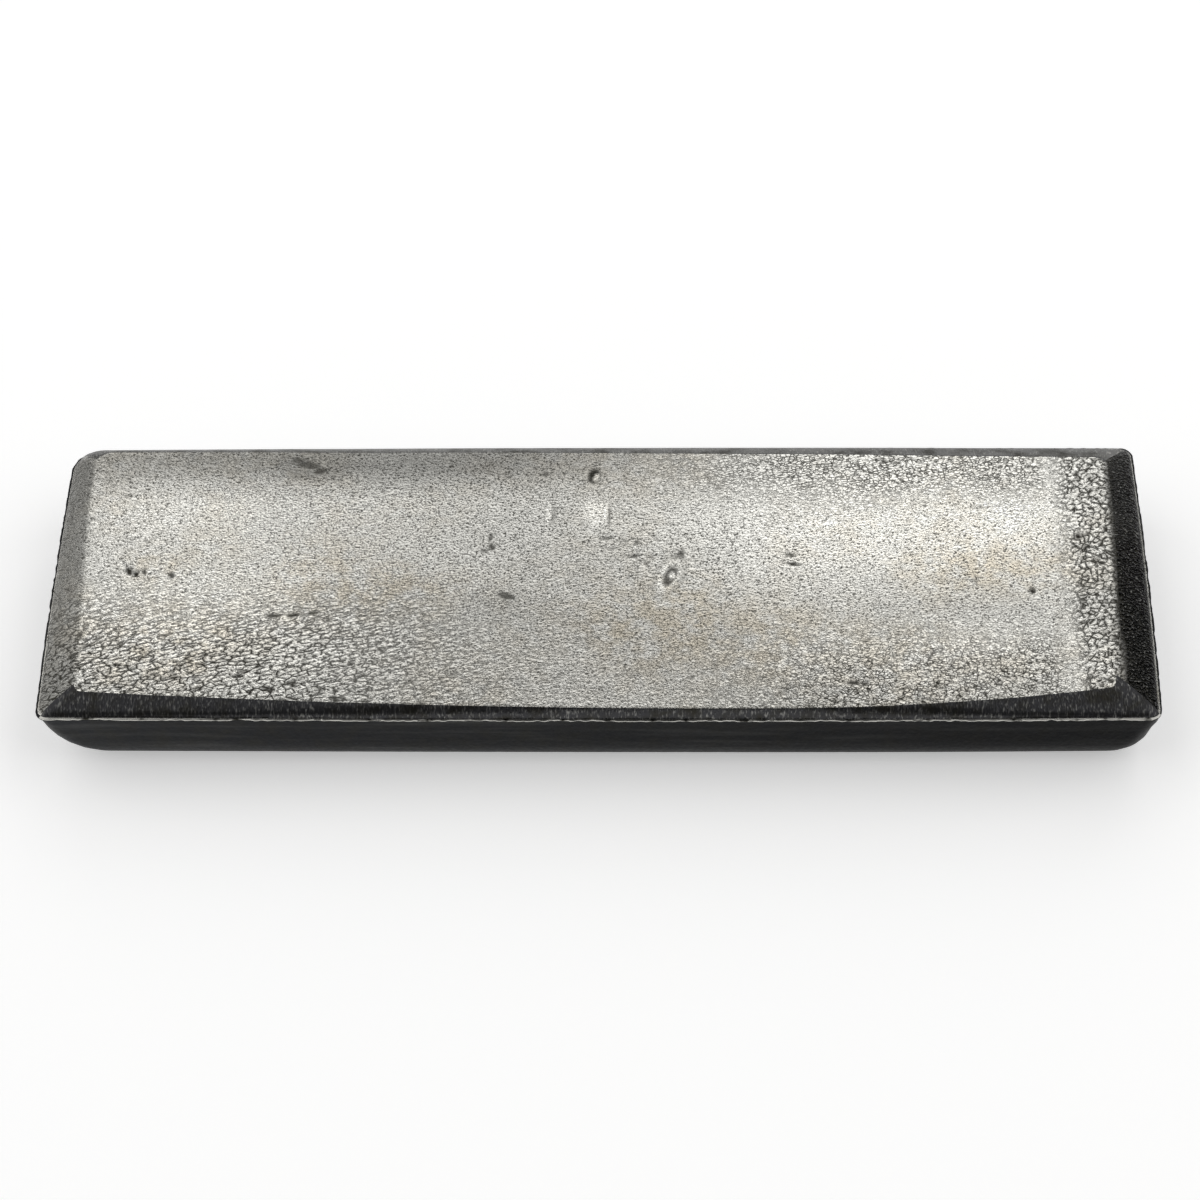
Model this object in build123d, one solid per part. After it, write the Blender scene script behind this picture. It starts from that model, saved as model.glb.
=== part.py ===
"""A one kilogram silver bar, poured as one piece into an open iron mould.

Frame: millimetres, +Z up, +X along the bar, the side that faces the viewer is -Y.
The origin is the centre of the bar's outline, on the surface that the bar lies on.

The lower half took its form from the mould: walls with draft that turn under into a
flat base, in a wide round at the left end and in a tighter one elsewhere. The upper
half is the free surface of the melt: it falls to the mould wall in a shoulder that is wide at
the ends and tapers along the far side. Along the near side it is narrowest past the middle.
A thin flash marks the line where the two halves met.
"""

import os
from math import radians, sqrt, tan

from build123d import *

# The mould line, where the bar is longest and widest
rim_length = 150.0
rim_width = 51.3
rim_height = 10.75
rim_near_corner_radius = 1.4
rim_far_left_corner_radius = 4.0
rim_far_right_corner_radius = 1.6
rim_side_bow = 0.3
rim_end_bow = 0.3

# How far three of its corners stand out of the square: near left, far right along and far right across
left_end_skew = 0.5
right_end_skew = 0.9
far_side_skew = 0.6

# The walls below the mould line, and the rounds that turn them under
side_draft = 7.0
left_end_draft = 6.0
right_end_draft = 6.0
side_round = 5.0
left_end_round = 9.0
right_end_round = 4.5
base_corner_radius = 6.0
wall_level_shares = (0.0, 0.015, 0.06, 0.14, 0.26, 0.42, 0.66, 1.0)

# The shoulder above the mould line, where the melt rolled off to the wall
shoulder_rise = 1.8
shoulder_left_near_inset = 5.0
shoulder_left_far_inset = 3.2
shoulder_right_near_inset = 6.0
shoulder_right_far_inset = 4.4
shoulder_near_side_left_inset = 3.4
shoulder_near_side_right_inset = 4.2
shoulder_far_side_left_inset = 1.9
shoulder_far_side_right_inset = 3.6
shoulder_near_corner_radius = 1.2
shoulder_far_left_corner_radius = 2.5
shoulder_far_right_corner_radius = 1.4
shoulder_near_bow = 3.8
shoulder_near_peak_share = 0.67
shoulder_far_bow = 0.3
shoulder_end_bow = 0.6
shoulder_inward_shares = (0.0, 0.12, 0.45, 0.8, 1.0)
shoulder_rise_shares = (0.0, 0.35, 0.68, 0.92, 1.0)

# The crown, which rises gently from the shoulder to a flat plateau
crown_rise = 0.35
crown_side_border = 6.0
crown_end_border = 8.0

# The flash that stands out along the mould line
flash_reach = 0.25
flash_thickness = 0.3

rim_corner_x = rim_length / 2 - rim_end_bow
rim_corner_y = rim_width / 2 - rim_side_bow
rim_corner_radii = (rim_near_corner_radius, rim_far_left_corner_radius, rim_far_right_corner_radius)
shoulder_corner_radii = (
    shoulder_near_corner_radius,
    shoulder_far_left_corner_radius,
    shoulder_far_right_corner_radius,
)


def bowed(start, end, bow):
    """A side of an outline, bowed out at its middle."""
    middle = (Vector(start) + Vector(end)) / 2 + Vector(bow)
    return ThreePointArc(start, middle, end)


def peaked(start, end, bow, peak_share):
    """A side of an outline in two arcs, bowed out most at a share of its length."""
    along = Vector(end) - Vector(start)
    peak = Vector(start) + along * peak_share + Vector(bow)
    return [TangentArc(peak, start, tangent=-along), TangentArc(peak, end, tangent=along)]


def outline(left_insets, right_insets, near_insets, far_insets, corner_radii, near_bow, far_bow, end_bow):
    """A level outline, from how far its corners lie inside those of the mould line.

    The insets are pairs: near and far corner for an end, left and right corner for a side.
    The radii are for both near corners, for the far left one and for the far right one.
    """
    near_left = (left_insets[0] - left_end_skew - rim_corner_x, near_insets[0] - rim_corner_y)
    far_left = (left_insets[1] - rim_corner_x, rim_corner_y - far_insets[0])
    near_right = (rim_corner_x - right_insets[0], near_insets[1] - rim_corner_y)
    far_right = (rim_corner_x + right_end_skew - right_insets[1], rim_corner_y + far_side_skew - far_insets[1])
    sharp = make_face(
        [
            *peaked(near_left, near_right, (0, -near_bow), shoulder_near_peak_share),
            bowed(near_right, far_right, (end_bow, 0)),
            bowed(far_right, far_left, (0, far_bow)),
            bowed(far_left, near_left, (-end_bow, 0)),
        ]
    )
    at_ends = sharp.vertices().filter_by(lambda vertex: abs(vertex.X) > rim_corner_x / 2)
    blunt = fillet(at_ends.filter_by(lambda vertex: vertex.Y < 0), corner_radii[0])
    blunt = fillet(blunt.vertices().filter_by(lambda vertex: vertex.Y > 0 and vertex.X < 0), corner_radii[1])
    return fillet(blunt.vertices().filter_by(lambda vertex: vertex.Y > 0 and vertex.X > 0), corner_radii[2])


def rim_outline(reach=0):
    """The outline of the mould line, with everything moved out by the reach."""
    insets = (-reach, -reach)
    corner_radii = [radius + reach for radius in rim_corner_radii]
    return outline(insets, insets, insets, insets, corner_radii, rim_side_bow, rim_side_bow, rim_end_bow)


def wall_inset(height, draft, edge_round):
    """How far inside the mould line a wall lies at a height, by its draft and its round."""
    below_round = max(edge_round - height, 0)
    turned_under = edge_round - sqrt(edge_round**2 - below_round**2)
    return (rim_height - height) * tan(radians(draft)) + turned_under


def wall_level(height_share):
    """One level of the mould half, from the flat base up to the mould line."""
    height = rim_height * height_share
    left = wall_inset(height, left_end_draft, left_end_round)
    right = wall_inset(height, right_end_draft, right_end_round)
    side = wall_inset(height, side_draft, side_round)
    corner_radii = [
        base_corner_radius + (radius - base_corner_radius) * height_share for radius in rim_corner_radii
    ]
    level = outline(
        (left, left),
        (right, right),
        (side, side),
        (side, side),
        corner_radii,
        rim_side_bow,
        rim_side_bow,
        rim_end_bow,
    )
    return Pos(0, 0, height) * level


def mould_half():
    """What the mould shaped: drafted walls that turn under into a flat base."""
    return loft([wall_level(height_share) for height_share in wall_level_shares])


def flash():
    """The thin fin along the mould line, at its mean reach."""
    return Pos(0, 0, rim_height) * extrude(rim_outline(flash_reach), flash_thickness)


def shoulder_outline(inward_share, end_border=0, side_border=0):
    """An outline on the way from the mould line in to the crest, or inside it by a border."""

    def from_rim(rim_size, crest_size):
        return rim_size + (crest_size - rim_size) * inward_share

    left = (from_rim(0, shoulder_left_near_inset), from_rim(0, shoulder_left_far_inset))
    right = (from_rim(0, shoulder_right_near_inset), from_rim(0, shoulder_right_far_inset))
    near = (from_rim(0, shoulder_near_side_left_inset), from_rim(0, shoulder_near_side_right_inset))
    far = (from_rim(0, shoulder_far_side_left_inset), from_rim(0, shoulder_far_side_right_inset))
    return outline(
        [inset + end_border for inset in left],
        [inset + end_border for inset in right],
        [inset + side_border for inset in near],
        [inset + side_border for inset in far],
        [from_rim(*radii) for radii in zip(rim_corner_radii, shoulder_corner_radii)],
        from_rim(rim_side_bow, shoulder_near_bow),
        from_rim(rim_side_bow, shoulder_far_bow),
        from_rim(rim_end_bow, shoulder_end_bow),
    )


def free_surface():
    """The shoulder and the crown, which the melt formed by itself."""
    foot = rim_height + flash_thickness
    levels = [
        Pos(0, 0, foot + shoulder_rise * rise_share) * shoulder_outline(inward_share)
        for inward_share, rise_share in zip(shoulder_inward_shares, shoulder_rise_shares)
    ]
    inside_crest = shoulder_outline(1, end_border=crown_end_border, side_border=crown_side_border)
    plateau = Pos(0, 0, foot + shoulder_rise + crown_rise) * inside_crest
    return loft(levels, ruled=True) + loft([levels[-1], plateau], ruled=True)


bar = mould_half() + flash() + free_surface()
centre = bar.bounding_box().center()
ingot = Pos(-centre.X, -centre.Y, 0) * bar
ingot.label = "ingot"

os.makedirs("parts", exist_ok=True)
export_step(ingot, "parts/ingot.step")
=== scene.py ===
"""The finished look of a poured silver bar, laid out as an add-on and run as a script.

The skin of the bar is a fine grid over the free surface of the melt, with rows of faces that go
down the shoulder, round the flash and down the mould walls to the flat base. All of it lies on
the fixed frame's solid, and the relief of the casting is then raised from it.
Lengths are metres unless a name ends in _mm. Turns of marks and patterns are degrees.
"""

from math import cos, pi, radians, sin
from typing import NamedTuple

import bmesh
import bpy
from bpy.props import FloatProperty, FloatVectorProperty, IntProperty, PointerProperty
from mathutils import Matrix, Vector, noise
from mathutils.bvhtree import BVHTree


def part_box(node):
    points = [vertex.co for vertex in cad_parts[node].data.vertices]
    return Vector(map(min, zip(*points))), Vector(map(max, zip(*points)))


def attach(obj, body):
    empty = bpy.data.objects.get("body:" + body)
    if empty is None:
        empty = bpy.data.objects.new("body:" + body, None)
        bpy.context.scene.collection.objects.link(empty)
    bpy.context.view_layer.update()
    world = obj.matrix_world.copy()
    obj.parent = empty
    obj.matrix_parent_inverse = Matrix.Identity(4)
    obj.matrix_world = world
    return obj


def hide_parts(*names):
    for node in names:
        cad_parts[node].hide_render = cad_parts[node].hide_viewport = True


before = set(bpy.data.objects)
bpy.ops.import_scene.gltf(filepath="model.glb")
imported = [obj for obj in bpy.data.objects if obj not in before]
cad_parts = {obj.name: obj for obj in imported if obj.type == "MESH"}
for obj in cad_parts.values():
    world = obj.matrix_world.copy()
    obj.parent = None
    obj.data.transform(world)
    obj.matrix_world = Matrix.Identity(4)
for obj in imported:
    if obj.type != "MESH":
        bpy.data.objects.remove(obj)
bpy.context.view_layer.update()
bar_low, bar_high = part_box("ingot")

bl_info = {
    "name": "Poured silver bar",
    "version": (1, 0, 0),
    "blender": (4, 5, 0),
    "location": "View3D > Sidebar > Silver bar",
    "description": "Builds the skin of a poured silver bar and a plain studio around it",
    "category": "Add Mesh",
}

MM = 0.001
WHITE = (1.0, 1.0, 1.0, 1.0)
HALF_LENGTH = (bar_high.x - bar_low.x) / 2
HALF_WIDTH = (bar_high.y - bar_low.y) / 2
HEIGHT = bar_high.z - bar_low.z

# The order of the skin's materials
LEATHERY, STRIATED, MOULDED, FLASH = range(4)


def mix(a, b, share):
    return a + (b - a) * share


def smooth_step(low, high, value):
    share = min(max((value - low) / (high - low), 0.0), 1.0)
    return share * share * (3 - 2 * share)


# What the free surface shows


class Mark(NamedTuple):
    """A dent, pit or raised spot of the free surface, dark with painted shade and dirt or, below 0, lit as
    a painted highlight.
    """

    along_share: float
    across_share: float
    length_mm: float
    width_mm: float
    depth_mm: float
    turn: float
    dark: float


class Patch(NamedTuple):
    """A soft-edged stretch of the free surface with a tone or tint of its own."""

    along_share: float
    across_share: float
    # A soft-edged stretch of the free surface: painted sheen and shade in one table, a warm tint in the
    # other.
    length_mm: float
    width_mm: float
    strength: float


class Pattern(NamedTuple):
    """A pattern of cells with creases between them."""

    length_mm: float
    width_mm: float
    turn: float
    crease_share: float
    depth_mm: float


class Fade(NamedTuple):
    """Where a pattern begins to show, and where it shows in full."""

    start_mm: float
    full_mm: float

    def at(self, place):
        return smooth_step(self.start_mm * MM, self.full_mm * MM, place)


class Wander(NamedTuple):
    """How far the border of a pattern wanders, over waves of a length, in a layer of the noise."""

    reach_mm: float
    wave_mm: float
    layer_mm: float = 0

    def at(self, x, y):
        place = Vector((x, y, self.layer_mm * MM)) / (self.wave_mm * MM)
        return self.reach_mm * MM * noise.noise(place)


class EndSlope(NamedTuple):
    """The slope of an end: its painted shade, and the shares of its width where that fades out."""

    tone: float
    clear_share: float
    full_share: float


# The patterns of the free surface, by the name of the value that says where each one shows
patterns = {
    "Creased": Pattern(1.6, 0.68, 17, 0.26, 0.080),
    "Scaly": Pattern(1.10, 0.76, 33, 0.28, 0.095),
    "Coarse": Pattern(0.66, 0.46, 12, 0.28, 0.044),
}

# The fine grain between the creases, and the share of it that is left under a pattern
fine_grain_length_mm = 0.36
fine_grain_width_mm = 0.34
fine_grain_depth_mm = 0.22
fine_grain_left_share = 0.6

# Where the small cells show, beside the far side and beside the near one
coarse_border = Wander(3, 9)
coarse_far_across = Fade(3, 19)
coarse_far_along = Fade(-25, 30)
coarse_near_across = Fade(0, -19)
coarse_near_along = Fade(-20, 35)

# Where the wavy wrinkles show: along the near side, over the left end and in an oval in the middle
creased_border = Wander(4, 12, 5)
creased_across = Fade(10, -17)
creased_along = Fade(10, -45)
creased_middle = Fade(20, 4)
creased_middle_squash = 2
creased_near_right_share = 0.45
creased_left_share = 0.3
creased_middle_share = 0.4

# Where the scales show, and how much of them is left on the slope of the end
scaly_border = Wander(0.4, 6)
scaly_along = Fade(60.5, 66.0)
scaly_slope_share = 0.2
scaly_slope_fade_shares = (0.8, 1.05)

# The broad waves, and the wrinkles that lean a little and are longer along the bar than across it
swell_wave = 18 * MM
wrinkle_wave = 2.4 * MM
wrinkle_along_share = 0.5
wrinkle_lean_share = 0.10
wrinkle_bend_wave = 6 * MM
wrinkle_bend_share = 0.5
wrinkle_bend_seed = 1
wrinkle_least_share = 0.2

# The painted shade of the slopes of the ends, and the darkest painted shade that the left half gets
left_slope = EndSlope(-1.45, 1.05, 0.85)
right_slope = EndSlope(-2.36, 1.25, 1.0)
darkest_left_painted_shade = -1.5

# Where marks and patches fade in, as shares of their half size
mark_fade_shares = (1.2, 0.6)
patch_fade_shares = (1.5, 0.1)

# Pits, dents, a burst blister and scratches, roughly from the left end to the right.
# Where two overlap, a bright one, a painted highlight, takes off the painted shade and dirt of those before
# it.
marks = (
    Mark(-0.859, -0.013, 1.1, 1.9, 0.22, 20, 1.0),
    Mark(-0.846, -0.037, 0.9, 1.3, 0.20, -10, 1.0),
    Mark(-0.831, -0.018, 0.7, 1.6, 0.18, 0, 0.9),
    Mark(-0.781, -0.046, 1.1, 1.4, 0.18, 30, 0.9),
    Mark(-0.589, -0.335, 3.0, 0.8, 0.12, 5, 0.9),
    Mark(-0.554, -0.333, 2.2, 0.8, 0.14, 8, 1.0),
    Mark(-0.519, -0.316, 2.2, 0.7, 0.10, 12, 0.9),
    Mark(-0.509, -0.345, 1.1, 0.4, 0.10, -50, 0.6),
    Mark(-0.548, 0.790, 4.2, 1.6, 0.08, -15, 0.7),
    Mark(-0.525, 0.740, 2.4, 1.1, 0.08, 20, 0.8),
    Mark(-0.568, 0.830, 2.2, 1.0, 0.08, 0, 0.7),
    Mark(-0.520, 0.800, 0.7, 1.8, -0.08, 10, -0.6),
    Mark(-0.204, 0.231, 0.7, 1.5, 0.12, -10, 0.8),
    Mark(-0.201, 0.163, 0.9, 1.6, 0.14, 10, 0.9),
    Mark(-0.216, 0.134, 1.3, 0.7, 0.12, 0, 0.7),
    Mark(-0.173, -0.198, 3.0, 1.4, 0.08, -20, 0.8),
    Mark(-0.169, -0.194, 0.5, 1.3, -0.10, 25, 0.0),
    Mark(-0.105, 0.710, 1.2, 1.0, 0.12, 0, 0.7),
    Mark(-0.090, 0.407, 1.5, 4.4, 0.08, -2, 0.35),
    Mark(-0.098, 0.407, 0.6, 4.4, -0.08, -4, -0.9),
    Mark(-0.014, 0.700, 2.0, 3.6, 0.14, -8, 1.0),
    Mark(-0.010, 0.690, 0.9, 2.0, 0.00, -12, -0.6),
    Mark(-0.012, 0.425, 3.6, 5.4, 0.06, 0, -0.65),
    Mark(-0.030, 0.417, 0.6, 4.6, -0.08, -4, -0.6),
    Mark(0.006, 0.407, 0.7, 4.8, -0.12, -2, -0.8),
    Mark(0.014, 0.395, 0.6, 4.0, 0.10, -2, 0.7),
    Mark(0.008, 0.225, 2.6, 0.7, 0.10, 12, 0.7),
    Mark(0.040, 0.205, 2.0, 0.6, 0.10, -12, 0.6),
    Mark(0.064, 0.195, 1.1, 1.1, 0.10, 0, 0.7),
    Mark(0.022, 0.150, 2.2, 0.5, 0.10, 20, 0.5),
    Mark(0.060, 0.095, 2.6, 0.6, 0.14, 15, 0.8),
    Mark(0.087, 0.085, 1.5, 0.5, 0.14, -15, 0.7),
    Mark(0.081, 0.036, 0.6, 1.4, 0.12, 20, 0.7),
    Mark(0.140, 0.075, 1.3, 4.2, 0.16, -18, 0.9),
    Mark(0.123, -0.050, 4.3, 9.4, 0.04, -20, 0.6),
    Mark(0.123, -0.050, 3.4, 8.2, -0.12, -20, -0.7),
    Mark(0.124, -0.050, 1.9, 4.8, 0.24, -20, 0.9),
    Mark(0.127, -0.045, 0.9, 1.5, -0.10, 0, -0.4),
    Mark(0.344, 0.104, 1.9, 0.6, 0.12, -10, 0.9),
    Mark(0.350, 0.036, 2.4, 0.6, 0.14, -8, 1.0),
    Mark(0.445, -0.803, 2.2, 0.9, 0.16, 0, 0.9),
    Mark(0.464, -0.813, 1.1, 1.0, 0.12, 20, 0.9),
    Mark(0.719, -0.511, 1.4, 1.4, -0.14, 0, -0.6),
    Mark(0.743, -0.516, 1.2, 1.2, -0.12, 0, -0.6),
    Mark(0.694, 0.446, 2.6, 0.5, 0.10, -12, 0.4),
    Mark(0.710, 0.485, 2.2, 0.6, -0.10, -12, -0.5),
    Mark(0.390, 0.300, 3.0, 0.7, -0.08, 20, -0.5),
    Mark(0.420, 0.330, 1.6, 1.8, -0.08, 0, -0.5),
    Mark(0.779, -0.159, 1.0, 1.1, 0.20, 30, 1.0),
    Mark(0.874, 0.251, 1.1, 1.2, 0.20, 0, 1.0),
    Mark(0.835, -0.215, 0.5, 33.0, 0.04, -4, 0.15),
    Mark(0.842, -0.215, 0.6, 33.0, -0.05, -4, -0.35),
)

# Painted sheen and painted shade: lighter and darker stretches of the free surface
painted_sheen_and_shade = (
    Patch(0.415, 0.349, 62, 20, 0.40),
    Patch(-0.150, -0.050, 64, 64, -0.50),
    Patch(-0.620, 0.860, 90, 15, -1.35),
    Patch(-0.050, 0.860, 60, 14, -0.50),
    Patch(0.550, 0.860, 60, 14, 0.30),
    Patch(0.600, 0.350, 52, 26, 0.45),
    Patch(-0.750, -0.450, 50, 26, 0.55),
    Patch(0.600, -0.620, 52, 14, 0.55),
    Patch(0.600, -0.250, 40, 12, -0.25),
    Patch(0.150, -0.600, 50, 20, -0.20),
    Patch(0.773, 0.388, 14, 12, 0.45),
    Patch(-0.777, 0.400, 26, 14, 0.35),
    Patch(-0.544, 0.774, 9, 6, -0.55),
    Patch(-0.350, -0.365, 60, 14, -0.12),
    Patch(-0.171, -0.277, 12, 8, -0.25),
    Patch(0.942, -0.316, 10, 50, -0.15),
)

# Stretches with a warm tarnish
tarnished = (
    Patch(0.694, -0.003, 26, 12, 0.9),
    Patch(0.097, -0.365, 34, 16, 0.9),
    Patch(-0.777, -0.462, 26, 18, 0.7),
    Patch(-0.449, -0.120, 30, 12, 0.6),
    Patch(0.445, -0.609, 40, 16, 0.5),
    Patch(-0.817, 0.036, 10, 8, 0.8),
)


# The mesh of the skin


class RowFinish(NamedTuple):
    """The materials of a row of faces: along the near side, along the far side and round the ends."""

    near: int
    far: int
    ends: int


shoulder_finish = RowFinish(STRIATED, STRIATED, LEATHERY)
flash_finish = RowFinish(FLASH, MOULDED, MOULDED)
wall_finish = RowFinish(MOULDED, MOULDED, MOULDED)

# The values that each vertex carries for the relief and the finish
vertex_values = (
    "along_share", "across_share", "grain", "coarse", "creased", "scaly", "tone", "tarnish", "pit", "worn")

# The share of the bar's length and width that the grid covers, which sets its count of faces
grid_length_share = 0.94
grid_width_share = 0.90

# Powers that crowd the rows of faces toward the crest, and toward the base
shoulder_crowding = 1.5
wall_crowding = 1.6

# How far a level keeps clear of an edge of the solid
hair = 0.02 * MM

# The teeth of the flash's edge, and the longer waves that they ride on
flash_tooth = 0.9 * MM
flash_wave = 4 * MM
flash_wave_share = 0.6
flash_reach_share = 0.3

# Painted light and shade: the shoulder along the far side is painted lighter, and the walls get painted
# shade that deepens from the left end to the right
far_shoulder_painted_light_share = 0.17
left_wall_painted_light = 0.1
right_wall_painted_light = -0.75

# Edges that are sharper than this stay crisp
sharp_edge = radians(60)


# The studio


class Lamp(NamedTuple):
    """A rectangular soft lamp, and the name of the property that holds its power."""

    name: str
    power_property: str
    width: float
    height: float
    place: tuple
    aim: tuple


lamps = (
    Lamp("window", "window_power", 1.3, 0.765, (0.10, 1.0, 1.2375), (0.10, 0, 1.2375)),
    Lamp("low_window", "low_window_power", 1.3, 0.675, (0.10, 1.0, 0.5175), (0.10, 0, 0.5175)),
    Lamp("left_window", "left_window_power", 0.5, 0.8, (-0.85, 0.75, 0.60), (0, 0, 0.30)),
    Lamp("left_box", "box_power", 1.4, 1.4, (-0.80, -0.05, 0.80), (0, 0, 0)),
    Lamp("right_box", "box_power", 1.4, 1.4, (0.80, -0.05, 0.80), (0, 0, 0)),
)

sensor_width_mm = 36.0


# Sizes, colours and light that a user would change


class SkinSizes(bpy.types.PropertyGroup):
    """Sizes of the skin's mesh and relief."""

    mesh_step: FloatProperty(
        name="Mesh step", description="Size of a face of the free surface",
        default=0.33 * MM, unit="LENGTH")
    shoulder_rows: IntProperty(
        name="Shoulder rows", description="Rows of faces down the shoulder", default=8)
    wall_rows: IntProperty(
        name="Wall rows", description="Rows of faces down the mould walls", default=10)
    crown_smoothing: IntProperty(
        name="Crown smoothing", description="Times that the crown's heights are evened out", default=60)
    crest_height: FloatProperty(
        name="Crest height", description="Height of the shoulder's upper edge",
        default=0.971 * HEIGHT, unit="LENGTH")
    flash_height: FloatProperty(
        name="Flash height", description="Height of the middle of the flash",
        default=0.8257 * HEIGHT, unit="LENGTH")
    flash_thickness: FloatProperty(
        name="Flash thickness", description="Thickness of the flash", default=0.3 * MM, unit="LENGTH")
    flash_ragged: FloatProperty(
        name="Flash raggedness", description="How far the edge of the flash wanders",
        default=0.22 * MM, unit="LENGTH")
    swell: FloatProperty(
        name="Swell", description="Height of the broad waves of the free surface",
        default=0.10 * MM, unit="LENGTH")
    wrinkle: FloatProperty(
        name="Wrinkles", description="Height of the wrinkles of the free surface",
        default=0.018 * MM, unit="LENGTH")
    crest_inset_near: FloatProperty(
        name="Near crest inset", description="Width of the slope at the near end of each end",
        default=5.6 * MM, unit="LENGTH")
    crest_inset_far: FloatProperty(
        name="Far crest inset", description="Width of the slope at the far end of each end",
        default=3.8 * MM, unit="LENGTH")


class Finish(bpy.types.PropertyGroup):
    """Colours of the casting's surfaces, some of them dark with painted shade."""

    silver: FloatVectorProperty(
        name="Silver", description="Colour of the bare free surface", subtype="COLOR",
        size=4, default=(0.655, 0.647, 0.605, 1.0))
    tarnish: FloatVectorProperty(
        name="Tarnish", description="Colour of the warm tarnish", subtype="COLOR",
        size=4, default=(0.52, 0.45, 0.33, 1.0))
    # Painted shade in the creases, and painted shade and dirt in the pits, take this dark colour. Elsewhere
    # it darkens specks and breaks that come at random.
    crease: FloatVectorProperty(
        name="Crease", description="Colour of the dirt in creases and pits", subtype="COLOR",
        size=4, default=(0.035, 0.033, 0.026, 1.0))
    # Painted shade: the shoulder's colour is made near black
    shoulder: FloatVectorProperty(
        name="Shoulder", description="Colour of the striated shoulder", subtype="COLOR",
        size=4, default=(0.052, 0.052, 0.055, 1.0))
    # Painted shade: the walls' colour is made near black
    wall: FloatVectorProperty(
        name="Mould wall", description="Colour of the walls that met the mould", subtype="COLOR",
        size=4, default=(0.024, 0.025, 0.027, 1.0))
    flash: FloatVectorProperty(
        name="Flash", description="Colour of the bright flash", subtype="COLOR",
        size=4, default=(0.60, 0.59, 0.55, 1.0))


class Stage(bpy.types.PropertyGroup):
    """The camera, the floor and the lamps."""

    elevation: FloatProperty(
        name="Camera elevation", description="How far up the camera looks from",
        default=radians(46.5), subtype="ANGLE")
    distance: FloatProperty(
        name="Camera distance", description="From the camera to the point that it looks at",
        default=0.5054, unit="LENGTH")
    aim: FloatVectorProperty(
        name="Aim", description="The point that the camera looks at", subtype="XYZ",
        size=3, default=(-0.00025, -0.00569, 0.01295))
    lens_mm: FloatProperty(name="Lens", description="Focal length in millimetres", default=111.0)
    floor: FloatVectorProperty(
        name="Floor", description="Colour of the floor", subtype="COLOR",
        size=4, default=(0.93, 0.93, 0.925, 1.0))
    floor_glow: FloatProperty(
        name="Floor glow", description="White that the floor adds to what the camera sees", default=0.42)
    floor_size: FloatProperty(
        name="Floor size", description="Length of the floor's sides", default=6.0, unit="LENGTH")
    world: FloatProperty(name="World", description="Strength of the even light", default=0.10)
    window_power: FloatProperty(
        name="Window", description="Power of the soft lamp behind the bar", default=2.15, unit="POWER")
    low_window_power: FloatProperty(
        name="Low window", description="Power of the soft lamp below the window", default=3.7, unit="POWER")
    left_window_power: FloatProperty(
        name="Left window", description="Power of the soft lamp behind and left", default=0.7, unit="POWER")
    box_power: FloatProperty(
        name="Side boxes", description="Power of each soft lamp beside the bar", default=5.0, unit="POWER")


# Placing the skin on the solid


class Solid:
    """The fixed frame's solid, as something to place points on."""

    def __init__(self, node):
        self.tree = BVHTree.FromObject(node, bpy.context.evaluated_depsgraph_get())

    def hit(self, start, direction):
        """Where a ray meets the solid."""
        place = self.tree.ray_cast(Vector(start), Vector(direction))[0]
        if place is None:
            raise RuntimeError(f"no surface of the solid lies along {direction} from {start}")
        return place


class Level:
    """The solid's outline at one height, read at shares along its four sides."""

    # How far inside the bar's box the rays start
    reach_in = 12 * MM

    def __init__(self, solid, height):
        self.solid = solid
        self.height = height
        x = HALF_LENGTH - self.reach_in
        y = HALF_WIDTH - self.reach_in
        self.near_left = solid.hit((-x, -y, height), (-1, -1, 0))
        self.near_right = solid.hit((x, -y, height), (1, -1, 0))
        self.far_left = solid.hit((-x, y, height), (-1, 1, 0))
        self.far_right = solid.hit((x, y, height), (1, 1, 0))

    def near(self, share):
        x = mix(self.near_left.x, self.near_right.x, share)
        return self.solid.hit((x, self.reach_in - HALF_WIDTH, self.height), (0, -1, 0))

    def far(self, share):
        x = mix(self.far_left.x, self.far_right.x, share)
        return self.solid.hit((x, HALF_WIDTH - self.reach_in, self.height), (0, 1, 0))

    def left(self, share):
        y = mix(self.near_left.y, self.far_left.y, share)
        return self.solid.hit((self.reach_in - HALF_LENGTH, y, self.height), (-1, 0, 0))

    def right(self, share):
        y = mix(self.near_right.y, self.far_right.y, share)
        return self.solid.hit((HALF_LENGTH - self.reach_in, y, self.height), (1, 0, 0))

    def place(self, along_share, across_share):
        """A point of the outline, from the shares of a border vertex of the grid."""
        corners = {
            (0, 0): self.near_left,
            (1, 0): self.near_right,
            (0, 1): self.far_left,
            (1, 1): self.far_right,
        }
        if (along_share, across_share) in corners:
            return corners[along_share, across_share]
        if across_share == 0:
            return self.near(along_share)
        if across_share == 1:
            return self.far(along_share)
        if along_share == 0:
            return self.left(across_share)
        return self.right(across_share)


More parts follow.
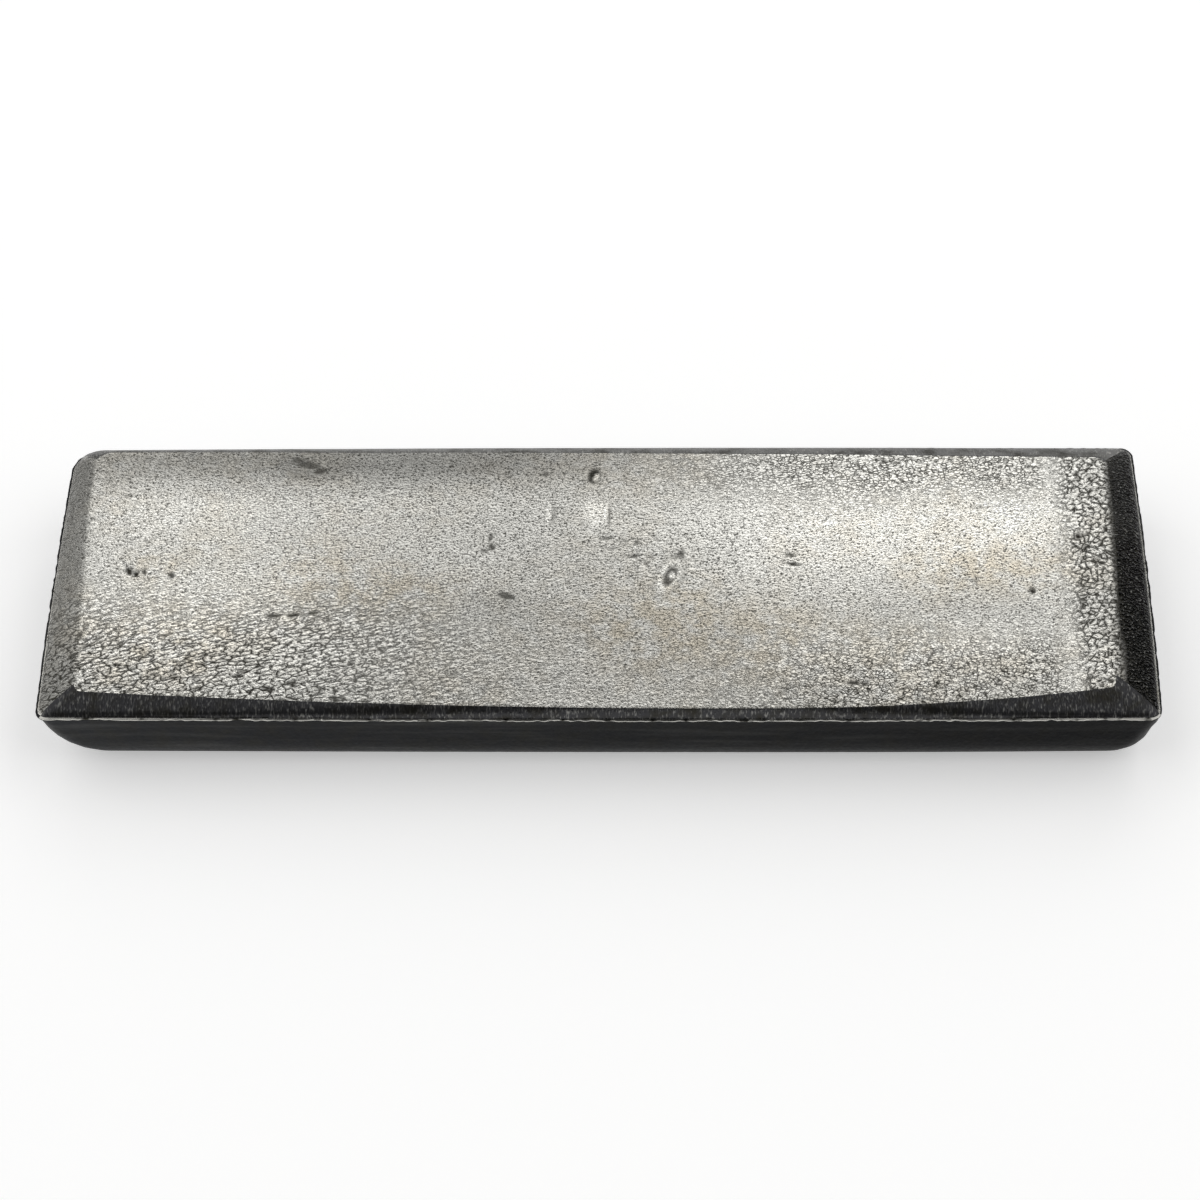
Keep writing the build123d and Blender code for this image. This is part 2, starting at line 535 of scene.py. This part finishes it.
def free_surface_grid(bm, solid, sizes):
    """A grid over the free surface, whose border vertices keep their shares along and across."""
    columns = round(2 * HALF_LENGTH / sizes.mesh_step * grid_length_share)
    rows = round(2 * HALF_WIDTH / sizes.mesh_step * grid_width_share)
    # A unit square, so that a vertex's place on it gives its column and its row
    bmesh.ops.create_grid(bm, x_segments=columns, y_segments=rows, size=0.5)
    layers = bm.verts.layers.float
    crest = Level(solid, sizes.crest_height)
    along = [step / columns for step in range(columns + 1)]
    across = [step / rows for step in range(rows + 1)]
    near = [crest.place(share, 0).y for share in along]
    far = [crest.place(share, 1).y for share in along]
    left = [crest.place(0, share).x for share in across]
    right = [crest.place(1, share).x for share in across]
    above = HEIGHT * 2
    inside = []
    for vert in bm.verts:
        vert[layers["grain"]] = 1.0
        i = round((vert.co.x + 0.5) * columns)
        j = round((vert.co.y + 0.5) * rows)
        if i in (0, columns) or j in (0, rows):
            vert[layers["along_share"]] = along[i]
            vert[layers["across_share"]] = across[j]
            vert.co = crest.place(along[i], across[j])
        else:
            x = mix(left[j], right[j], along[i])
            y = mix(near[i], far[i], across[j])
            vert.co = solid.hit((x, y, above), (0, 0, -1))
            inside.append(vert)
    for _ in range(sizes.crown_smoothing):
        bmesh.ops.smooth_vert(bm, verts=inside, factor=1.0, use_axis_z=True)


def border_edges(bm):
    return [edge for edge in bm.edges if edge.is_boundary]


def row_material(face, across_share, finish):
    """The material of a face in a row, by the side of the bar that it lies on."""
    across = [vert[across_share] for vert in face.verts]
    if max(across) == 0:
        return finish.near
    if min(across) == 1:
        return finish.far
    return finish.ends


def add_row(bm, level, finish):
    """One more row of faces below the border, down to a level of the solid."""
    along_share = bm.verts.layers.float["along_share"]
    across_share = bm.verts.layers.float["across_share"]
    made = bmesh.ops.extrude_edge_only(bm, edges=border_edges(bm))["geom"]
    verts = [item for item in made if isinstance(item, bmesh.types.BMVert)]
    for vert in verts:
        vert.co = level.place(vert[along_share], vert[across_share])
    for item in made:
        if isinstance(item, bmesh.types.BMFace):
            item.material_index = row_material(item, across_share, finish)
    return verts


def build_shoulder(bm, solid, sizes):
    """The shoulder, from the crest down to the flash."""
    layers = bm.verts.layers.float
    rise = sizes.crest_height - (sizes.flash_height + sizes.flash_thickness / 2) - hair
    for row in range(1, sizes.shoulder_rows + 1):
        share = row / sizes.shoulder_rows
        level = Level(solid, sizes.crest_height - rise * share ** shoulder_crowding)
        for vert in add_row(bm, level, shoulder_finish):
            vert[layers["grain"]] = 1 - share
            # Painted light: the far side of the shoulder is painted lighter
            vert[layers["worn"]] = far_shoulder_painted_light_share if vert[layers["across_share"]] == 1 else 0.0


def build_flash(bm, solid, sizes):
    """The flash, whose edge is ragged."""
    grain = bm.verts.layers.float["grain"]
    middle = sizes.flash_height
    top = middle + sizes.flash_thickness / 2
    bottom = middle - sizes.flash_thickness / 2
    level = Level(solid, middle)
    for height in (top - hair, middle, bottom + hair):
        # The flash's underside takes the walls' colour, dark with painted shade
        finish = wall_finish if height < middle else flash_finish
        for vert in add_row(bm, level, finish):
            vert.co.z = height
            wave = flash_wave_share * noise.noise(vert.co / flash_wave)
            ragged = noise.noise(vert.co / flash_tooth) + wave
            outward = Vector((vert.co.x / HALF_LENGTH ** 2, vert.co.y / HALF_WIDTH ** 2, 0)).normalized()
            vert.co += outward * sizes.flash_ragged * min(ragged, flash_reach_share)
            vert[grain] = 0.0


def build_walls(bm, solid, sizes):
    """The mould walls below the flash, and the flat base."""
    layers = bm.verts.layers.float
    top = sizes.flash_height - sizes.flash_thickness / 2 - hair
    for row in range(sizes.wall_rows + 1):
        share = row / sizes.wall_rows
        level = Level(solid, top * (1 - share) ** wall_crowding + hair)
        for vert in add_row(bm, level, wall_finish):
            along_share = (vert.co.x + HALF_LENGTH) / (2 * HALF_LENGTH)
            vert[layers["grain"]] = 0.0
            # Painted shade that deepens from the left end to the right
            vert[layers["tone"]] = mix(left_wall_painted_light, right_wall_painted_light, along_share)
            if row == sizes.wall_rows:
                vert.co.z = 0.0
    for face in bmesh.ops.contextual_create(bm, geom=border_edges(bm))["faces"]:
        face.material_index = MOULDED


# The relief of the casting


def patch_weight(patch, x, y):
    across = (y - patch.across_share * HALF_WIDTH) / (patch.width_mm * MM / 2)
    along = (x - patch.along_share * HALF_LENGTH) / (patch.length_mm * MM / 2)
    return patch.strength * smooth_step(*patch_fade_shares, (across * across + along * along) ** 0.5)


def mark_weight(mark, x, y):
    across = y - mark.across_share * HALF_WIDTH
    along = x - mark.along_share * HALF_LENGTH
    turn = radians(mark.turn)
    a = (along * cos(turn) + across * sin(turn)) / (mark.length_mm * MM / 2)
    b = (across * cos(turn) - along * sin(turn)) / (mark.width_mm * MM / 2)
    return smooth_step(*mark_fade_shares, (a * a + b * b) ** 0.5)


def scaliness(x, y):
    """Scales cover the right end, up to a line where the skin of the melt once set."""
    return scaly_along.at(x + scaly_border.at(x, y))


def coarseness(x, y):
    """Small cells cover the far right and the near right of the free surface."""
    across = y + coarse_border.at(x, y)
    far = coarse_far_across.at(across) * coarse_far_along.at(x)
    near = coarse_near_across.at(across) * coarse_near_along.at(x)
    return max(far, near) * (1 - scaliness(x, y))


def creasing(x, y):
    """Wavy wrinkles are strongest toward the near left corner, and faint in the middle."""
    wander = creased_border.at(x, y)
    left = creased_along.at(x)
    near = creased_across.at(y + wander) * mix(creased_near_right_share, 1.0, left)
    from_middle = (x * x + creased_middle_squash * y * y) ** 0.5
    middle = creased_middle.at(from_middle + wander)
    most = max(near, creased_left_share * left, creased_middle_share * middle)
    return most * (1 - scaliness(x, y))


def relief(place, coarse, sizes):
    """Height of the waves and wrinkles of the free surface."""
    x, y, z = place
    swell = sizes.swell * noise.noise(place / swell_wave)
    stretched = Vector((x * wrinkle_along_share, y - wrinkle_lean_share * x, z)) / wrinkle_wave
    bend = noise.noise_vector(place / wrinkle_bend_wave) * wrinkle_bend_share
    ridge = 1 - 2 * abs(noise.noise(stretched + bend))
    return swell + sizes.wrinkle * mix(wrinkle_least_share, 1.0, coarse) * (ridge - 0.5)


def slope_share(x, y, sizes):
    """How far up the slope of an end a point lies, from 0 at the mould line to 1 at the crest."""
    from_far = (HALF_WIDTH - y) / (2 * HALF_WIDTH)
    inset = mix(sizes.crest_inset_far, sizes.crest_inset_near, from_far)
    return max(HALF_LENGTH - abs(x), 0.0) / inset


def slope_painted_shade(x, y, sizes):
    """The slopes of the ends are darker than the free surface by painted shade, most of all at the right.
    """
    slope = right_slope if x > 0 else left_slope
    return slope.tone * smooth_step(slope.clear_share, slope.full_share, slope_share(x, y, sizes))


def raise_relief(bm, sizes):
    """Moves the free surface along its normals, and notes its painted light and shade, and its other
    values, for the finish.
    """
    noise.seed_set(wrinkle_bend_seed)
    bm.normal_update()
    layers = bm.verts.layers.float
    coarse_layer = layers["coarse"]
    creased_layer = layers["creased"]
    scaly_layer = layers["scaly"]
    painted_light_layer = layers["tone"]
    tarnish_layer = layers["tarnish"]
    pit_layer = layers["pit"]
    grain = layers["grain"]
    for vert in bm.verts:
        if vert[grain] == 0:
            continue
        x, y = vert.co.xy
        coarse = coarseness(x, y)
        height = relief(vert.co, coarse, sizes)
        # Painted light and shade: sheen and shaded stretches, and the painted shade of the end slopes
        tone = sum(patch_weight(patch, x, y) for patch in painted_sheen_and_shade) + slope_painted_shade(x, y, sizes)
        pit = 0.0
        for mark in marks:
            share = mark_weight(mark, x, y)
            if share == 0:
                continue
            height -= mark.depth_mm * MM * share
            # Bright marks are painted highlights, which take off the painted shade and dirt of the marks
            # before them; dark marks are painted shade and dirt in the hollow.
            if mark.dark < 0:
                pit *= 1 - share
                tone -= mark.dark * share
            else:
                pit = max(pit, mark.dark * share)
        above_slope = smooth_step(*scaly_slope_fade_shares, slope_share(x, y, sizes))
        vert[coarse_layer] = coarse
        vert[creased_layer] = creasing(x, y)
        vert[scaly_layer] = scaliness(x, y) * mix(scaly_slope_share, 1.0, above_slope)
        # The painted shade of the left half goes no darker than this
        vert[painted_light_layer] = max(tone, darkest_left_painted_shade) if x < 0 else tone
        vert[tarnish_layer] = sum(patch_weight(patch, x, y) for patch in tarnished)
        vert[pit_layer] = pit
        vert.co += vert.normal * height * vert[grain]


# Building blocks of the materials


def feed(tree, socket, value):
    """Links an input to another node's output, or sets it to a plain value."""
    if isinstance(value, bpy.types.NodeSocket):
        tree.links.new(value, socket)
    else:
        socket.default_value = value


def add_node(tree, kind, settings=None, **inputs):
    """A node with its settings and the values or links of its inputs."""
    node = tree.nodes.new(kind)
    for name, value in (settings or {}).items():
        setattr(node, name, value)
    for name, value in inputs.items():
        feed(tree, node.inputs[name.replace("_", " ")], value)
    return node


def calculate(tree, operation, *values, clamp=False):
    """The result of a Math node."""
    node = add_node(tree, "ShaderNodeMath", {"operation": operation, "use_clamp": clamp})
    for socket, value in zip(node.inputs, values):
        feed(tree, socket, value)
    return node.outputs[0]


def between(tree, share, start, end):
    """A value on the way from one number, at a share of 0, to another, at a share of 1."""
    return calculate(tree, "MULTIPLY_ADD", share, end - start, start)


def ramp(tree, value, low, high, to_low=0.0, to_high=1.0):
    """A smooth step of a value from one range to another."""
    node = add_node(
        tree, "ShaderNodeMapRange", {"interpolation_type": "SMOOTHSTEP"},
        Value=value, From_Min=low, From_Max=high, To_Min=to_low, To_Max=to_high)
    return node.outputs["Result"]


def mix_colours(tree, share, first, second, way="MIX"):
    """Two colours mixed by a share, in one of the Mix node's ways."""
    node = add_node(tree, "ShaderNodeMix", {"data_type": "RGBA", "blend_type": way}, Factor=share)
    first_colour, second_colour = [socket for socket in node.inputs if socket.type == "RGBA"]
    feed(tree, first_colour, first)
    feed(tree, second_colour, second)
    return next(socket for socket in node.outputs if socket.type == "RGBA")


def shaded(tree, colour, light):
    """A colour made lighter or darker by a factor."""
    shade = add_node(tree, "ShaderNodeCombineColor", Red=light, Green=light, Blue=light).outputs["Color"]
    return mix_colours(tree, 1.0, colour, shade, way="MULTIPLY")


def millimetres(tree, stretch=(1.0, 1.0, 1.0)):
    """Object coordinates in millimetres, stretched for a pattern."""
    coordinates = tree.nodes.new("ShaderNodeTexCoord").outputs["Object"]
    scale = [share / MM for share in stretch]
    return add_node(tree, "ShaderNodeMapping", Vector=coordinates, Scale=scale).outputs["Vector"]


def cloud(tree, place, scale, detail, roughness=0.5):
    """A noise between 0 and 1."""
    node = add_node(
        tree, "ShaderNodeTexNoise", Vector=place, Scale=scale, Detail=detail, Roughness=roughness)
    return node.outputs["Fac"]


def attribute(tree, name):
    return add_node(tree, "ShaderNodeAttribute", {"attribute_name": name}).outputs["Fac"]


def new_group(name, inputs, outputs):
    """An empty shader node group that takes a place and numbers, and gives numbers."""
    tree = bpy.data.node_groups.new(name, "ShaderNodeTree")
    tree.interface.new_socket("Vector", in_out="INPUT", socket_type="NodeSocketVector")
    for socket in inputs:
        tree.interface.new_socket(socket, in_out="INPUT", socket_type="NodeSocketFloat")
    for socket in outputs:
        tree.interface.new_socket(socket, in_out="OUTPUT", socket_type="NodeSocketFloat")
    return tree, tree.nodes.new("NodeGroupInput").outputs, tree.nodes.new("NodeGroupOutput").inputs


def use_group(tree, group, **inputs):
    return add_node(tree, "ShaderNodeGroup", {"node_tree": group}, **inputs).outputs


def bump(tree, shader, height, distance):
    node = add_node(tree, "ShaderNodeBump", Height=height, Distance=distance, Strength=1.0)
    tree.links.new(node.outputs["Normal"], shader.inputs["Normal"])


def new_material(name):
    """A material with a bare metal shader, and its node tree."""
    material = bpy.data.materials.new(name)
    material.use_nodes = True
    shader = material.node_tree.nodes["Principled BSDF"]
    shader.inputs["Metallic"].default_value = 1.0
    return material, material.node_tree, shader


# Effects that the materials share


def grain_place(tree, place, length_mm, width_mm, turn=0.0):
    """A place in a pattern whose grains have a length, a width and a turn from the X axis."""
    mapping = add_node(
        tree, "ShaderNodeMapping", {"vector_type": "TEXTURE"}, Vector=place,
        Rotation=(0.0, 0.0, radians(turn)), Scale=(length_mm, width_mm, width_mm))
    return mapping.outputs["Vector"]


def creases(tree, place, pattern):
    """Creases between the cells of a pattern: 1 in the middle of a crease and 0 on the flats."""
    turned = grain_place(tree, place, pattern.length_mm, pattern.width_mm, pattern.turn)
    cells = add_node(
        tree, "ShaderNodeTexVoronoi", {"feature": "DISTANCE_TO_EDGE"},
        Vector=turned, Scale=1.0, Randomness=1.0)
    return ramp(tree, cells.outputs["Distance"], 0.0, pattern.crease_share, to_low=1.0, to_high=0.0)


def warped(tree, place, reach_mm):
    """A place moved about by up to a reach, so that no pattern runs straight."""
    drift = add_node(tree, "ShaderNodeTexNoise", Vector=place, Scale=0.6, Detail=2.0)
    node = add_node(tree, "ShaderNodeVectorMath", {"operation": "MULTIPLY_ADD"})
    for socket, value in zip(node.inputs, (drift.outputs["Color"], (reach_mm, reach_mm, 0.0), place)):
        feed(tree, socket, value)
    return node.outputs["Vector"]


def leather_group():
    """Leathery relief in millimetres: fine grain, and broken creases in three patterns, with masks for
    painted shade in creases and grain valleys and for painted glints on ridges.
    """
    tree, given, result = new_group("Leathery grain", list(patterns), ("Height", "Crease", "Ridge"))
    warp_reach_mm = 0.5
    speck_share = 0.9
    crease_paint_power = 1.8
    place = warped(tree, given["Vector"], warp_reach_mm)
    broken = cloud(tree, given["Vector"], scale=1.5, detail=1.0)
    kept = ramp(tree, broken, low=0.33, high=0.5, to_low=0.3)
    fine_place = grain_place(tree, place, fine_grain_length_mm, fine_grain_width_mm)
    fine = cloud(tree, fine_place, scale=1.0, detail=1.5)
    most, *others = [given[name] for name in patterns]
    for other in others:
        most = calculate(tree, "MAXIMUM", most, other)
    plain = between(tree, most, start=1.0, end=fine_grain_left_share)
    height = calculate(tree, "MULTIPLY", fine, calculate(tree, "MULTIPLY", plain, fine_grain_depth_mm))
    # Painted shade in the valleys of the fine grain
    specks = ramp(tree, fine, low=0.46, high=0.31)
    crease = calculate(tree, "MULTIPLY", specks, calculate(tree, "MULTIPLY", plain, speck_share))
    for name, pattern in patterns.items():
        shown = calculate(tree, "MULTIPLY", kept, given[name])
        valley = calculate(tree, "MULTIPLY", creases(tree, place, pattern), shown)
        height = calculate(tree, "MULTIPLY_ADD", valley, -pattern.depth_mm, height)
        # The middle of each crease is painted dark, as painted shade
        crease = calculate(tree, "MAXIMUM", crease, calculate(tree, "POWER", valley, crease_paint_power))
    tree.links.new(height, result["Height"])
    tree.links.new(crease, result["Crease"])
    # Painted glints on the ridges of the fine grain
    tree.links.new(ramp(tree, fine, low=0.60, high=0.72), result["Ridge"])
    return tree


def tarnish_group():
    """A slow variation of tint, and the specks of old dirt that go with it."""
    tree, given, result = new_group("Tarnish", ("Amount",), ("Warm", "Dull"))
    slow_share = 0.5
    slow = ramp(tree, cloud(tree, given["Vector"], scale=0.07, detail=3.0), low=0.35, high=0.7)
    quick = cloud(tree, given["Vector"], scale=0.35, detail=4.0, roughness=0.6)
    amount = calculate(tree, "MULTIPLY_ADD", slow, slow_share, given["Amount"])
    warm = calculate(tree, "MULTIPLY", amount, ramp(tree, quick, low=0.3, high=0.65), clamp=True)
    tree.links.new(warm, result["Warm"])
    tree.links.new(ramp(tree, quick, low=0.4, high=0.75), result["Dull"])
    return tree


# Materials


def leathery_silver(finish, leather, tarnish):
    """The bright free surface: leathery grain, warm tarnish, painted shade in creases, painted shade and
    dirt in pits, and painted light and shade in stretches.
    """
    material, tree, shader = new_material("leathery_silver")
    warm_share = 0.6
    plain_light = 1.18
    painted_light_share = 0.5
    ridge_glint_light = 0.25
    crease_and_pit_roughness = 0.3
    shown = {name: attribute(tree, name.lower()) for name in patterns}
    grain = use_group(tree, leather, Vector=millimetres(tree), **shown)
    tint = use_group(tree, tarnish, Vector=millimetres(tree), Amount=attribute(tree, "tarnish"))
    warm = calculate(tree, "MULTIPLY", tint["Warm"], warm_share)
    colour = mix_colours(tree, warm, finish.silver, finish.tarnish)
    # Painted light and shade make the colour lighter or darker
    light = calculate(tree, "MULTIPLY_ADD", attribute(tree, "tone"), painted_light_share, plain_light)
    # Painted glints on the ridges keep some light where the painted shade is deep
    light = calculate(tree, "MAXIMUM", light, calculate(tree, "MULTIPLY", grain["Ridge"], ridge_glint_light))
    # Painted shade in the creases, and painted shade and dirt in the pits, darken the colour toward the
    # crease colour
    shade_and_dirt = calculate(tree, "MAXIMUM", grain["Crease"], attribute(tree, "pit"))
    colour = mix_colours(tree, shade_and_dirt, shaded(tree, colour, light), finish.crease)
    tree.links.new(colour, shader.inputs["Base Color"])
    rough = between(tree, tint["Dull"], start=0.10, end=0.16)
    rough = calculate(tree, "MULTIPLY_ADD", shade_and_dirt, crease_and_pit_roughness, rough)
    tree.links.new(rough, shader.inputs["Roughness"])
    bump(tree, shader, grain["Height"], MM)
    return material


def striated_silver(finish, tarnish):
    """The shoulder, dark with painted shade, drawn down in fine upright lines where the metal shrank from
    the mould.
    """
    material, tree, shader = new_material("striated_silver")
    upright_shares = (1.0, 0.3, 0.3)
    streak_share = 0.6
    line_depth = 0.10 * MM
    lines = cloud(tree, millimetres(tree, upright_shares), scale=4.2, detail=1.0)
    broad = cloud(tree, millimetres(tree, upright_shares), scale=0.22, detail=2.0)
    tint = use_group(tree, tarnish, Vector=millimetres(tree), Amount=0.1)
    streak = calculate(tree, "MULTIPLY", ramp(tree, lines, low=0.5, high=0.8), broad)
    # The far side of the shoulder is lifted toward the silver as painted light
    streak = calculate(tree, "MULTIPLY_ADD", streak, streak_share, attribute(tree, "worn"), clamp=True)
    colour = mix_colours(tree, streak, finish.shoulder, finish.silver)
    colour = mix_colours(tree, tint["Dull"], colour, finish.crease)
    tree.links.new(colour, shader.inputs["Base Color"])
    tree.links.new(between(tree, lines, start=0.3, end=0.5), shader.inputs["Roughness"])
    bump(tree, shader, lines, line_depth)
    return material


def moulded_silver(finish, tarnish):
    """The dull walls that took the mould's surface, dark with painted shade, with faint level streaks."""
    material, tree, shader = new_material("moulded_silver")
    level_shares = (0.06, 0.06, 1.0)
    streak_share = 0.05
    dull_share = 0.5
    skin_depth = 0.05 * MM
    streaks = cloud(tree, millimetres(tree, level_shares), scale=0.9, detail=4.0)
    skin = cloud(tree, millimetres(tree), scale=1.6, detail=4.0)
    tint = use_group(tree, tarnish, Vector=millimetres(tree), Amount=0.2)
    streak = calculate(tree, "MULTIPLY", ramp(tree, streaks, low=0.45, high=0.75), streak_share)
    colour = mix_colours(tree, streak, finish.wall, finish.silver)
    dull = calculate(tree, "MULTIPLY", tint["Dull"], dull_share)
    colour = mix_colours(tree, dull, colour, finish.crease)
    # Painted light and shade, from the left end to the right
    light = calculate(tree, "ADD", attribute(tree, "tone"), 1.0)
    tree.links.new(shaded(tree, colour, light), shader.inputs["Base Color"])
    tree.links.new(between(tree, skin, start=0.42, end=0.62), shader.inputs["Roughness"])
    bump(tree, shader, skin, skin_depth)
    return material


def flash_silver(finish, tarnish):
    """The bright edge that was squeezed out along the mould line."""
    material, tree, shader = new_material("flash_silver")
    flat_shares = (1.0, 1.0, 2.0)
    breaks = cloud(tree, millimetres(tree, flat_shares), scale=0.5, detail=3.0)
    tint = use_group(tree, tarnish, Vector=millimetres(tree), Amount=0.3)
    dull = ramp(tree, breaks, low=0.52, high=0.70)
    tree.links.new(mix_colours(tree, dull, finish.flash, finish.crease), shader.inputs["Base Color"])
    tree.links.new(between(tree, tint["Warm"], start=0.2, end=0.35), shader.inputs["Roughness"])
    return material


def pale_floor(stage):
    """A matt floor that looks white, and keeps the shadow of the bar."""
    material = bpy.data.materials.new("pale_floor")
    material.use_nodes = True
    tree = material.node_tree
    shader = tree.nodes["Principled BSDF"]
    shader.inputs["Base Color"].default_value = stage.floor
    shader.inputs["Roughness"].default_value = 1.0
    shader.inputs["Specular IOR Level"].default_value = 0.0
    shader.inputs["Emission Color"].default_value = WHITE
    rays = tree.nodes.new("ShaderNodeLightPath").outputs
    seen = calculate(tree, "MAXIMUM", rays["Is Camera Ray"], rays["Is Glossy Ray"])
    tree.links.new(calculate(tree, "MULTIPLY", seen, stage.floor_glow), shader.inputs["Emission Strength"])
    return material


# The studio's pieces


def add_lamp(lamp, power):
    """A rectangular soft lamp that faces a point."""
    data = bpy.data.lights.new(lamp.name, "AREA")
    data.shape = "RECTANGLE"
    data.size = lamp.width
    data.size_y = lamp.height
    data.energy = power
    piece = bpy.data.objects.new(lamp.name, data)
    piece.location = lamp.place
    piece.rotation_euler = (Vector(lamp.aim) - Vector(lamp.place)).to_track_quat("-Z", "Y").to_euler()
    bpy.context.scene.collection.objects.link(piece)


def add_floor(stage):
    """The level surface that the bar lies on."""
    bm = bmesh.new()
    bmesh.ops.create_grid(bm, x_segments=1, y_segments=1, size=stage.floor_size / 2)
    mesh = bpy.data.meshes.new("floor")
    bm.to_mesh(mesh)
    bm.free()
    mesh.materials.append(pale_floor(stage))
    floor = bpy.data.objects.new("floor", mesh)
    bpy.context.scene.collection.objects.link(floor)


def add_world(scene, strength):
    """An even white light from all sides."""
    world = bpy.data.worlds.new("studio")
    world.use_nodes = True
    background = world.node_tree.nodes["Background"]
    background.inputs["Color"].default_value = WHITE
    background.inputs["Strength"].default_value = strength
    scene.world = world


def add_camera(scene, stage):
    """A camera that looks down at the bar from its near side."""
    data = bpy.data.cameras.new("camera")
    data.sensor_width = sensor_width_mm
    data.lens = stage.lens_mm
    camera = bpy.data.objects.new("camera", data)
    away = Vector((0, -cos(stage.elevation), sin(stage.elevation)))
    camera.location = Vector(stage.aim) + away * stage.distance
    camera.rotation_euler = (pi / 2 - stage.elevation, 0, 0)
    scene.collection.objects.link(camera)
    scene.camera = camera


# Operators


class INGOT_OT_skin(bpy.types.Operator):
    """Build the skin of the bar on the frame's solid"""

    bl_idname = "ingot.skin"
    bl_label = "Bar skin"

    def execute(self, context):
        sizes = context.scene.ingot_sizes
        finish = context.scene.ingot_finish
        solid = Solid(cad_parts["ingot"])
        bm = bmesh.new()
        for name in vertex_values:
            bm.verts.layers.float.new(name)
        free_surface_grid(bm, solid, sizes)
        build_shoulder(bm, solid, sizes)
        build_flash(bm, solid, sizes)
        build_walls(bm, solid, sizes)
        bmesh.ops.recalc_face_normals(bm, faces=bm.faces)
        raise_relief(bm, sizes)
        for face in bm.faces:
            face.smooth = True
        mesh = bpy.data.meshes.new("ingot_skin")
        bm.to_mesh(mesh)
        bm.free()
        mesh.set_sharp_from_angle(angle=sharp_edge)
        leather = leather_group()
        tarnish = tarnish_group()
        mesh.materials.append(leathery_silver(finish, leather, tarnish))
        mesh.materials.append(striated_silver(finish, tarnish))
        mesh.materials.append(moulded_silver(finish, tarnish))
        mesh.materials.append(flash_silver(finish, tarnish))
        skin = bpy.data.objects.new("ingot_skin", mesh)
        context.scene.collection.objects.link(skin)
        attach(skin, "root")
        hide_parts("ingot")
        return {"FINISHED"}


class INGOT_OT_stage(bpy.types.Operator):
    """Build the floor, the lamps and the camera"""

    bl_idname = "ingot.stage"
    bl_label = "Studio"

    def execute(self, context):
        scene = context.scene
        stage = scene.ingot_stage
        add_floor(stage)
        for lamp in lamps:
            add_lamp(lamp, getattr(stage, lamp.power_property))
        add_world(scene, stage.world)
        add_camera(scene, stage)
        scene.view_settings.view_transform = "Standard"
        return {"FINISHED"}


class INGOT_PT_panel(bpy.types.Panel):
    """The bar's sizes, finish and studio in the sidebar"""

    bl_idname = "INGOT_PT_panel"
    bl_label = "Silver bar"
    bl_space_type = "VIEW_3D"
    bl_region_type = "UI"
    bl_category = "Silver bar"

    def draw(self, context):
        groups = (
            (context.scene.ingot_sizes, INGOT_OT_skin),
            (context.scene.ingot_finish, None),
            (context.scene.ingot_stage, INGOT_OT_stage),
        )
        for group, operator in groups:
            box = self.layout.box()
            for name in group.__annotations__:
                box.prop(group, name)
            if operator:
                box.operator(operator.bl_idname)


classes = (SkinSizes, Finish, Stage, INGOT_OT_skin, INGOT_OT_stage, INGOT_PT_panel)


def register():
    for item in classes:
        bpy.utils.register_class(item)
    bpy.types.Scene.ingot_sizes = PointerProperty(type=SkinSizes)
    bpy.types.Scene.ingot_finish = PointerProperty(type=Finish)
    bpy.types.Scene.ingot_stage = PointerProperty(type=Stage)


def unregister():
    del bpy.types.Scene.ingot_stage
    del bpy.types.Scene.ingot_finish
    del bpy.types.Scene.ingot_sizes
    for item in reversed(classes):
        bpy.utils.unregister_class(item)


def main():
    register()
    bpy.ops.ingot.skin()
    bpy.ops.ingot.stage()


if __name__ == "__main__":
    main()
